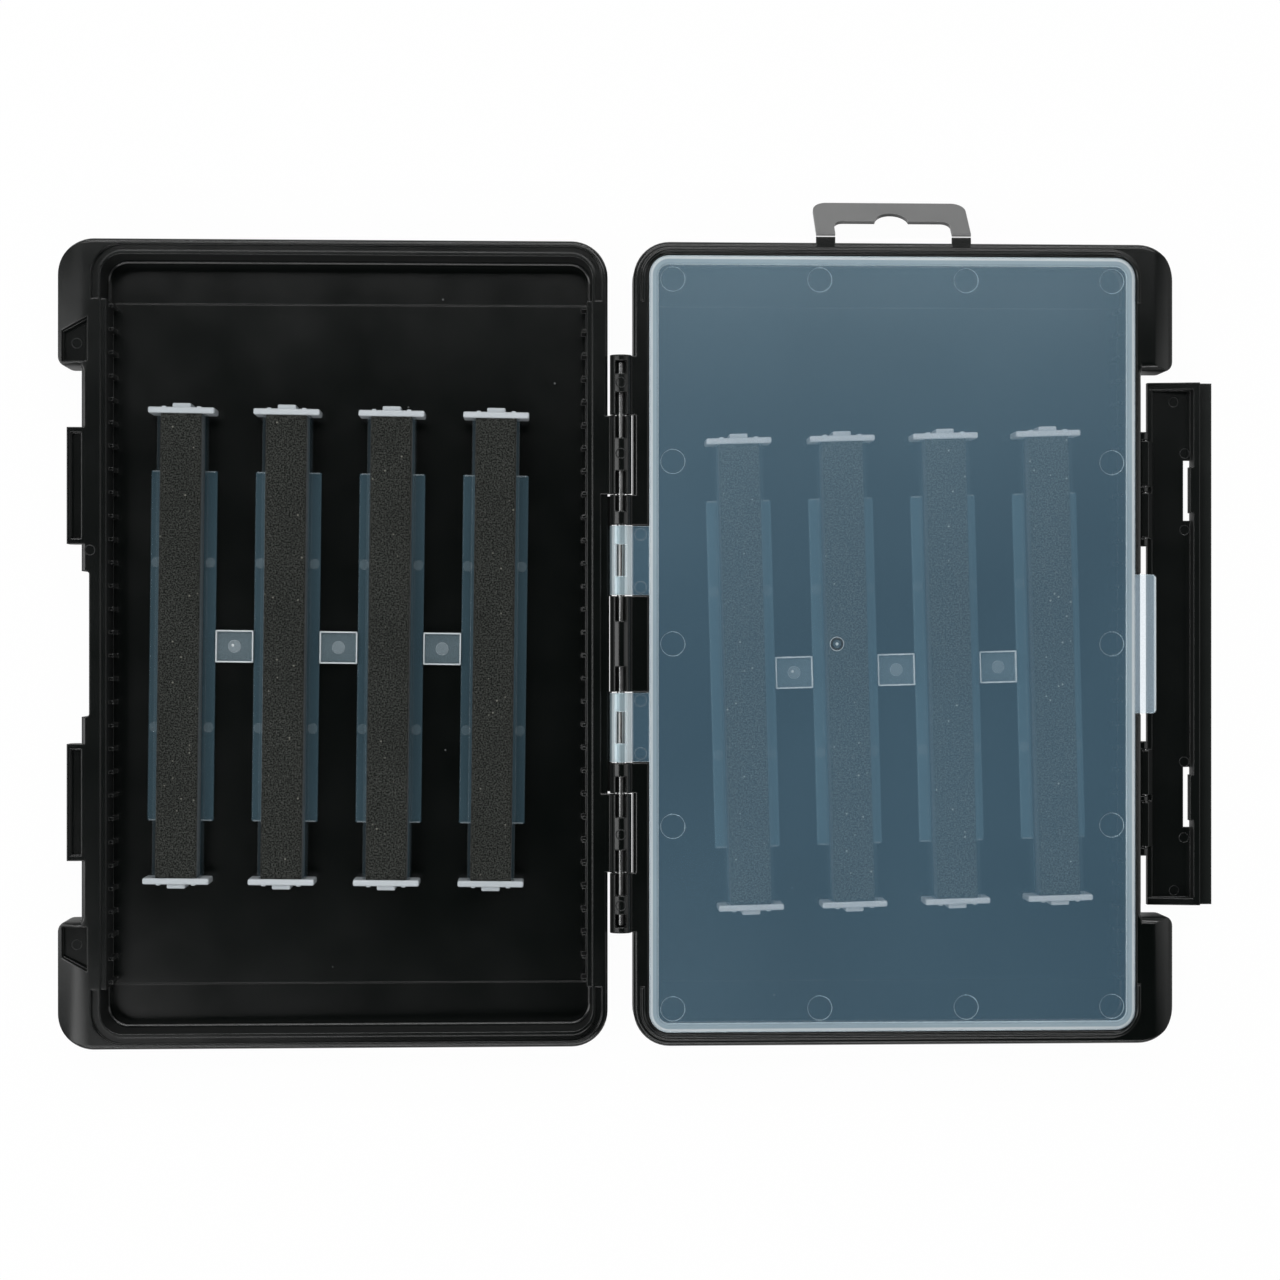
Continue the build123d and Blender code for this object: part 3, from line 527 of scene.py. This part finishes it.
def foam_material(name, painted_lightness=1.0):
    """Closed-cell foam: matt, with a speckle of open cells and a few bright grains. A factor above 1 gives a
    lighter copy: painted light.
    """
    material, tree, shader, place = start_material(name)
    cells = noise(tree, place, 2500, 1.0, 0.8)
    pores = noise(tree, place, 1500, 2.0, 0.8)
    slow = noise(tree, place, 70, 2.0, 0.5)
    dark, light, grey, bright = [tuple(painted_lightness * part for part in colour) for colour in FOAM_COLOURS]
    colour = blend_colours(tree, remap(tree, cells, 0.40, 0.64, 0.0, 1.0), dark, light)
    colour = blend_colours(tree, remap(tree, pores, 0.58, 0.72, 0.0, 0.6), colour, grey)
    colour = blend_colours(tree, remap(tree, slow, 0.3, 0.7, 0.0, 0.2), colour, dark)
    grains = specks(tree, place, 950, 0.30, 0.035)
    colour = blend_colours(tree, maths(tree, "MULTIPLY", grains, 0.45), colour, bright)
    tree.links.new(colour, shader.inputs["Base Color"])
    shader.inputs["Roughness"].default_value = 0.95
    shader.inputs["Specular IOR Level"].default_value = 0.12
    shader.inputs["Sheen Weight"].default_value = 0.08
    set_bump(tree, shader, [(cells, 0.6, 0.14 * MM), (pores, 0.5, 0.18 * MM)])
    return material


def sheet_material(name):
    """Thin smooth black plastic sheet: its grey is a painted reflection of the white backdrop in its steep
    face, a little uneven, and its rounded edges carry a painted highlight.
    """
    material, tree, shader, place = start_material(name)
    normal, edges = rounded_edges(tree, 0.15 * MM)
    slow = noise(tree, place, 60, 2.0, 0.5)
    colour = blend_colours(tree, remap(tree, slow, 0.3, 0.7, 0.0, 1.0), *SHEET_REFLECTION_GREYS)
    # Painted highlight on the rounded edges
    colour = blend_colours(tree, maths(tree, "MULTIPLY", edges, 0.7), colour, SHEET_EDGE_HIGHLIGHT)
    tree.links.new(colour, shader.inputs["Base Color"])
    shader.inputs["Roughness"].default_value = 0.38
    fine = noise(tree, place, 700, 2.0, 0.5)
    set_bump(tree, shader, [(fine, 0.06, 0.05 * MM)], normal)
    return material


def steel_material(name):
    """Drawn steel wire with fine marks along it."""
    material, tree, shader, place = start_material(name)
    marks = noise(tree, place, 300, 3.0, 0.6, (6.0, 0.2, 6.0))
    colour = blend_colours(tree, remap(tree, marks, 0.3, 0.7, 0.0, 1.0), *STEEL_COLOURS)
    tree.links.new(colour, shader.inputs["Base Color"])
    shader.inputs["Metallic"].default_value = 1.0
    tree.links.new(remap(tree, marks, 0.3, 0.7, 0.22, 0.34), shader.inputs["Roughness"])
    set_bump(tree, shader, [(marks, 0.15, 0.05 * MM)])
    return material


SHELL = black_plastic("black_shell", (0.0015, 0.0024, 0.0021), (0.0024, 0.0034, 0.0031), EDGE_WEAR_AND_HIGHLIGHT, 0.185)
LATCH = black_plastic("black_latch", (0.0026, 0.0036, 0.0033), (0.0036, 0.0047, 0.0044), EDGE_WEAR_AND_HIGHLIGHT, 0.22,
                      LATCH_BAND_FROM)
SHELL_MARK = black_plastic("black_mark", *MARK_LOOK_WITH_HIGHLIGHT)
COVER = cover_material("frosted_cover")
MILKY_LOOKS = {name: milky_plastic(name, *look) for name, look in MILKY.items()}
RACK_LOOKS = [MILKY_LOOKS[f"clear_rack_{part}"]
              for part in ("edge", "plate", "tile", "mark", "wall", "frame")]
FOAM = foam_material("grey_foam")
FOAM_PAINTED_LIT = foam_material("grey_foam_painted_lit", FOAM_PAINTED_LIGHT_UNDER_COVER)
TAB = sheet_material("tab_sheet")
STEEL = steel_material("steel_rod")


# CAD nodes that stay get their materials

for node, material in (("base_tray", SHELL), ("lid_tray", SHELL), ("latch", LATCH), ("hang_tab", TAB),
                       ("hinge_rod", STEEL), ("inner_cover", COVER)):
    for slot in NODES[node].material_slots:
        slot.material = material

# Light passes through the thin milky cover
NODES["inner_cover"].visible_shadow = False
NODES["inner_cover"].visible_diffuse = False


# Racks and foam strips

def strip_place(node):
    """Centre of a foam strip's lower face and its turn about Z, from its corners."""
    points = [vert.co for vert in NODES[node].data.vertices]
    centre = sum(points, Vector()) / len(points)
    top = [point for point in points if point.y > centre.y]
    bottom = [point for point in points if point.y < centre.y]
    along = sum(top, Vector()) / len(top) - sum(bottom, Vector()) / len(bottom)
    low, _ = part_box(node)
    return Vector((centre.x, centre.y, low.z)), math.atan2(-along.x, along.y)


def strip_size(node):
    """Width, length and height of a foam strip."""
    _, turn = strip_place(node)
    turned = [Matrix.Rotation(-turn, 3, "Z") @ vert.co for vert in NODES[node].data.vertices]
    return [max(point[i] for point in turned) - min(point[i] for point in turned) for i in range(3)]


def foam_piece(node, body, seed, material):
    """Foam strip with soft edges and a slightly uneven cut, in place of its plain solid."""
    centre, turn = strip_place(node)
    width, length, height = strip_size(node)
    chance = random.Random(seed)
    mesh = bmesh.new()
    across_steps = 8
    along_steps = int(length / FOAM_STEP)
    profile = [(-width / 2, 0.0), (-width / 2, height - FOAM_ROUND)]
    for step in (1, 2, 3):
        angle = math.radians(90 - 30 * step)
        profile.append((-width / 2 + FOAM_ROUND * (1 - math.sin(angle)),
                        height - FOAM_ROUND * (1 - math.cos(angle))))
    inner = width / 2 - FOAM_ROUND
    for step in range(1, across_steps):
        profile.append((-inner + 2 * inner * step / across_steps, height))
    profile += [(-across, up) for across, up in reversed(profile[:5])]
    loops = []
    for row in range(along_steps + 1):
        along = -length / 2 + length * row / along_steps
        end_gap = min(along + length / 2, length / 2 - along)
        end_drop = max(0.0, FOAM_ROUND - end_gap)
        loop = []
        for across, up in profile:
            crown = 0.0
            if up > height / 2:
                crown = chance.uniform(-FOAM_CROWN, 0.0) - 0.5 * end_drop
            drift = chance.uniform(-FOAM_DRIFT, FOAM_DRIFT) if 0 < row < along_steps else 0.0
            side = across * (1 - FOAM_WAIST * abs(math.sin(along * FOAM_WAVES + seed)))
            loop.append(mesh.verts.new((side, along + drift, max(up + crown, 0.0))))
        loops.append(loop)
    for first, second in zip(loops, loops[1:]):
        for corner in range(len(profile) - 1):
            mesh.faces.new((first[corner], first[corner + 1], second[corner + 1], second[corner]))
        mesh.faces.new((first[-1], first[0], second[0], second[-1]))
    mesh.faces.new(loops[0])
    mesh.faces.new(list(reversed(loops[-1])))
    bmesh.ops.recalc_face_normals(mesh, faces=mesh.faces)
    bmesh.ops.rotate(mesh, verts=mesh.verts, matrix=Matrix.Rotation(turn, 3, "Z"))
    bmesh.ops.translate(mesh, verts=mesh.verts, vec=centre)
    piece = add_piece(f"{node}_strip", mesh, body, [material])
    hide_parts(node)


def add_end_plate(mesh, x, end, foam_length, height):
    """End plate of a bar with its tab, two nubs and rounded corners."""
    inner = end * foam_length / 2
    outer = inner + end * PLATE_THICKNESS
    low_y, high_y = sorted((inner, outer))
    half = PLATE_WIDTH / 2
    add_block(mesh, (x - half, low_y, 0), (x + half, high_y, height), PLATE_ROUND, PLATE_SLOT, 3)
    tab_low, tab_high = sorted((outer - end * PLATE_OVERLAP, outer + end * PLATE_TAB_DEPTH))
    add_block(mesh, (x - PLATE_TAB_HALF, tab_low, 0), (x + PLATE_TAB_HALF, tab_high, height - PLATE_TAB_DROP),
              PLATE_TAB_ROUND, PLATE_SLOT, 3)
    for side in (-1, 1):
        nub_low, nub_high = sorted((outer - end * PLATE_OVERLAP, outer + end * NUB_DEPTH))
        nub_x = x + side * NUB_PLACE
        add_block(mesh, (nub_x - NUB_HALF, nub_low, 0), (nub_x + NUB_HALF, nub_high, height - NUB_DROP),
                  NUB_ROUND, PLATE_SLOT)


def add_bar(mesh, x, foam_width, foam_length, foam_height):
    """Flange, channel walls and end plates of one bar."""
    half = FLANGE_WIDTH / 2
    end = FLANGE_LENGTH / 2
    add_block(mesh, (x - half, -end, 0), (x + half, end, FLANGE_THICKNESS), FLANGE_ROUND, BODY_SLOT)
    # Pale strips across both ends: painted highlights
    for side in (-1, 1):
        low_y, high_y = sorted((side * end, side * (end - BAND_WIDTH)))
        add_block(mesh, (x - half + BAND_INSET, low_y, FLANGE_THICKNESS - BAND_RISE),
                  (x + half - BAND_INSET, high_y, FLANGE_THICKNESS + BAND_RISE), BAND_ROUND, RIM_SLOT, 1)
    channel = foam_width / 2 + CHANNEL_GAP
    for side in (-1, 1):
        low_x, high_x = sorted((x + side * channel, x + side * (channel + WALL)))
        add_block(mesh, (low_x, -foam_length / 2, 0), (high_x, foam_length / 2, WALL_HEIGHT), 0.0, WALL_SLOT)
    add_block(mesh, (x - channel, -foam_length / 2, 0), (x + channel, foam_length / 2, CHANNEL_FLOOR), 0.0,
              BODY_SLOT)
    for end_side in (-1, 1):
        add_end_plate(mesh, x, end_side, foam_length, FLANGE_THICKNESS + foam_height)
    for across, along in FLANGE_MARKS:
        add_disc(mesh, (x + across * MM, along * MM, FLANGE_THICKNESS - MARK_SINK), PIN_MARK_RADIUS,
                 FLANGE_MARK_HEIGHT, MARK_ROUND, MARK_SLOT)


def add_tile(mesh, x, tipped):
    """Tile between two bars: a plate in a fine raised frame, with a round mark that may have a small tip."""
    half_x = (RACK_PITCH - FLANGE_WIDTH) / 2
    half_y = TILE_LENGTH / 2
    top = FLANGE_THICKNESS + TILE_FRAME_RISE
    add_block(mesh, (x - half_x, -half_y, 0), (x + half_x, half_y, FLANGE_THICKNESS),
              TILE_ROUND, TILE_SLOT, 1)
    for side in (-1, 1):
        low_y, high_y = sorted((side * half_y, side * (half_y - TILE_FRAME_WIDTH)))
        add_block(mesh, (x - half_x, low_y, 0), (x + half_x, high_y, top), TILE_ROUND, FRAME_SLOT)
        low_x, high_x = sorted((x + side * half_x, x + side * (half_x - TILE_FRAME_WIDTH)))
        add_block(mesh, (low_x, -half_y, 0), (high_x, half_y, top), TILE_ROUND, FRAME_SLOT)
    mark_foot = FLANGE_THICKNESS - MARK_SINK
    add_disc(mesh, (x, 0.0, mark_foot), TILE_MARK_RADIUS, TILE_MARK_HEIGHT, MARK_ROUND, RIM_SLOT)
    if tipped:
        add_disc(mesh, (x + TILE_TIP_PLACE[0], TILE_TIP_PLACE[1], mark_foot), TILE_TIP_RADIUS,
                 TILE_TIP_HEIGHT, TILE_TIP_ROUND, FRAME_SLOT, 16)


def rack_piece(prefix, body, material):
    """Rack moulding in place of its plain solid."""
    places = [strip_place(f"{prefix}_foam_{index + 1}") for index in range(BAR_COUNT)]
    centre = sum((place for place, _ in places), Vector()) / BAR_COUNT
    turn = places[0][1]
    width, length, height = strip_size(f"{prefix}_foam_1")
    mesh = bmesh.new()
    for index in range(BAR_COUNT):
        add_bar(mesh, (index - (BAR_COUNT - 1) / 2) * RACK_PITCH, width, length, height)
    for index in range(BAR_COUNT - 1):
        add_tile(mesh, (index - (BAR_COUNT - 2) / 2) * RACK_PITCH, index == 0)
    bmesh.ops.rotate(mesh, verts=mesh.verts, matrix=Matrix.Rotation(turn, 3, "Z"))
    bmesh.ops.translate(mesh, verts=mesh.verts, vec=centre - Vector((0, 0, FLANGE_THICKNESS)))
    piece = add_piece(f"{prefix}_rack_moulding", mesh, body, [material, *RACK_LOOKS], False)
    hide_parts(f"{prefix}_rack")


# The base rack and its foam lie under the cover and take the lighter copies: painted light
for prefix, rack_look, strip_material in (("base", "clear_rack_painted_lit", FOAM_PAINTED_LIT),
                                          ("lid", "clear_rack", FOAM)):
    rack_piece(prefix, f"{prefix}_rack", MILKY_LOOKS[rack_look])
    for index in range(BAR_COUNT):
        foam_piece(f"{prefix}_foam_{index + 1}", f"{prefix}_rack", 10 * index + len(prefix), strip_material)


# Rim and marks of the inner cover, and the pin marks

def cover_rim():
    """Rim with a rounded top, over the raised rim of the cover's plate; pale outside and darker inside."""
    mesh = bmesh.new()
    top = COVER_RIM_TOP + COVER_RIM_SKIN
    inside = -COVER_RIM_WIDTH - COVER_RIM_SKIN
    section = [(COVER_RIM_SKIN, COVER_RIM_FOOT), (COVER_RIM_SKIN, top - 0.35 * MM),
               (-0.12 * MM, top - 0.1 * MM), (-0.4 * MM, top), (-0.9 * MM, top + 0.02 * MM),
               (-1.6 * MM, top), (-2.1 * MM, top - 0.08 * MM), (inside, top - 0.25 * MM),
               (inside, COVER_PLATE_Z - 0.05 * MM)]
    outline = rounded_outline(COVER_BACK, COVER_FRONT, COVER_HALF, COVER_RADIUS)
    loops = []
    for point, out in outline:
        loops.append([mesh.verts.new(point + across * out + Vector((0, 0, up))) for across, up in section])
    for index in range(len(loops)):
        here, there = loops[index], loops[(index + 1) % len(loops)]
        for corner in range(len(section) - 1):
            face = mesh.faces.new((here[corner], there[corner], there[corner + 1], here[corner + 1]))
            face.material_index = 0 if section[corner + 1][0] > -0.5 * COVER_RIM_WIDTH else 1
    bmesh.ops.recalc_face_normals(mesh, faces=mesh.faces)
    piece = add_piece("cover_rim", mesh, "inner_cover",
                      [MILKY_LOOKS["frosted_rim"], MILKY_LOOKS["frosted_rim_foot"]])
    piece.visible_shadow = False
    piece.visible_diffuse = False


def gate_mark():
    """Mark of the mould's gate on the cover: a dark ring in a fine pale one, round a pale tip."""
    mesh = bmesh.new()
    add_ring(mesh, GATE_PLACE, GATE_DARK_RADIUS, *GATE_DARK_SIZE)
    add_ring(mesh, GATE_PLACE, GATE_PALE_RADIUS, *GATE_PALE_SIZE, 1)
    add_disc(mesh, GATE_PLACE, GATE_TIP_RADIUS, GATE_TIP_HEIGHT, GATE_TIP_ROUND, 1, 20)
    piece = add_piece("cover_gate_mark", mesh, "inner_cover",
                      [MILKY_LOOKS["frosted_gate"], MILKY_LOOKS["frosted_gate_tip"]])
    piece.visible_shadow = False


def lug_marks():
    """Fine rings on the flat part of the cover's hinge lugs."""
    mesh = bmesh.new()
    for x, y in LUG_MARKS:
        add_ring(mesh, (x * MM, y * MM, COVER_PLATE_Z), LUG_MARK_RADIUS, *LUG_MARK_SIZE)
    piece = add_piece("cover_lug_marks", mesh, "inner_cover",
                      [MILKY_LOOKS["clear_rack_mark"]])
    piece.visible_shadow = False


def pin_marks(name, body, places):
    """Fine rings that the mould's pins leave, in a paler colour that paints their highlight; each place is x,
    y, z and the radius of the barrel under it.
    """
    mesh = bmesh.new()
    for x, y, z, barrel in places:
        add_ring(mesh, (x, y, z), PIN_MARK_RADIUS, *PIN_MARK_SIZE, 0, 32, barrel)
    add_piece(name, mesh, body, [SHELL_MARK])


cover_rim()
gate_mark()
lug_marks()
barrel_top = HINGE_Z + BARREL_RADIUS
pin_marks("latch_pin_marks", "latch",
          [(x * MM, y * MM, LATCH_MARK_Z, 0.0) for x, y in LATCH_MARKS])
pin_marks("lid_pin_marks", "lid",
          [(x * MM, y * MM, z * MM, 0.0) for x, y, z in LID_MARKS]
          + [(HINGE_X, y * MM, barrel_top, BARREL_RADIUS) for y in LID_KNUCKLE_MARKS])
pin_marks("base_pin_marks", "base",
          [(HINGE_X, y * MM, barrel_top, BARREL_RADIUS) for y in BASE_KNUCKLE_MARKS])


# Floor, background and light

def make_floor():
    """Pale floor that is nearly white where it is seen and keeps the case's shadow."""
    material = bpy.data.materials.new("pale_floor")
    material.use_nodes = True
    tree = material.node_tree
    tree.nodes.clear()
    output = tree.nodes.new("ShaderNodeOutputMaterial")
    diffuse = tree.nodes.new("ShaderNodeBsdfDiffuse")
    diffuse.inputs["Color"].default_value = (FLOOR_GREY, FLOOR_GREY, FLOOR_GREY, 1.0)
    white = tree.nodes.new("ShaderNodeEmission")
    path = tree.nodes.new("ShaderNodeLightPath")
    mix = tree.nodes.new("ShaderNodeMixShader")
    seen = maths(tree, "MAXIMUM", path.outputs["Is Camera Ray"], path.outputs["Is Glossy Ray"])
    seen = maths(tree, "MAXIMUM", seen, path.outputs["Is Transmission Ray"])
    tree.links.new(maths(tree, "MULTIPLY", seen, FLOOR_WHITE_SHARE), mix.inputs["Fac"])
    tree.links.new(diffuse.outputs["BSDF"], mix.inputs[1])
    tree.links.new(white.outputs["Emission"], mix.inputs[2])
    tree.links.new(mix.outputs["Shader"], output.inputs["Surface"])
    data = bpy.data.meshes.new("floor")
    half = FLOOR_HALF
    corners = [(-half, -half, 0), (half, -half, 0), (half, half, 0), (-half, half, 0)]
    data.from_pydata(corners, [], [(0, 1, 2, 3)])
    data.materials.append(material)
    floor = bpy.data.objects.new("floor", data)
    floor.location.z = -FLOOR_DROP
    bpy.context.scene.collection.objects.link(floor)


def make_world():
    """White where the camera sees it; as light, dark overhead and bright towards the horizon."""
    world = bpy.data.worlds.new("studio")
    bpy.context.scene.world = world
    world.use_nodes = True
    tree = world.node_tree
    tree.nodes.clear()
    output = tree.nodes.new("ShaderNodeOutputWorld")
    place = tree.nodes.new("ShaderNodeTexCoord")
    upward = along_axis(tree, place.outputs["Generated"], "Z")
    glow = remap(tree, upward, GLOW_HIGH, GLOW_LOW, 0.0, GLOW_STRENGTH)
    path = tree.nodes.new("ShaderNodeLightPath")
    strength = maths(tree, "MAXIMUM", glow, path.outputs["Is Camera Ray"])
    background = tree.nodes.new("ShaderNodeBackground")
    background.inputs["Color"].default_value = (1.0, 1.0, 1.0, 1.0)
    tree.links.new(strength, background.inputs["Strength"])
    tree.links.new(background.outputs["Background"], output.inputs["Surface"])


def make_light(name, place, size, energy):
    """Area light that faces the hinge."""
    data = bpy.data.lights.new(name, "AREA")
    data.shape = "RECTANGLE"
    data.size = size[0]
    data.size_y = size[1]
    data.energy = energy
    light = bpy.data.objects.new(name, data)
    light.location = place
    target = Vector((HINGE_X, 0, 0))
    light.rotation_euler = (target - Vector(place)).to_track_quat("-Z", "Y").to_euler()
    bpy.context.scene.collection.objects.link(light)


make_floor()
make_world()
for light in LIGHTS:
    make_light(*light)

camera_data = bpy.data.cameras.new("camera")
camera_data.lens = CAMERA_LENS
camera_data.sensor_width = SENSOR_WIDTH
camera = bpy.data.objects.new("camera", camera_data)
camera.location = CAMERA_PLACE
camera.rotation_euler = (0.0, CAMERA_TURN, 0.0)
bpy.context.scene.collection.objects.link(camera)
bpy.context.scene.camera = camera
bpy.context.scene.view_settings.view_transform = "Standard"
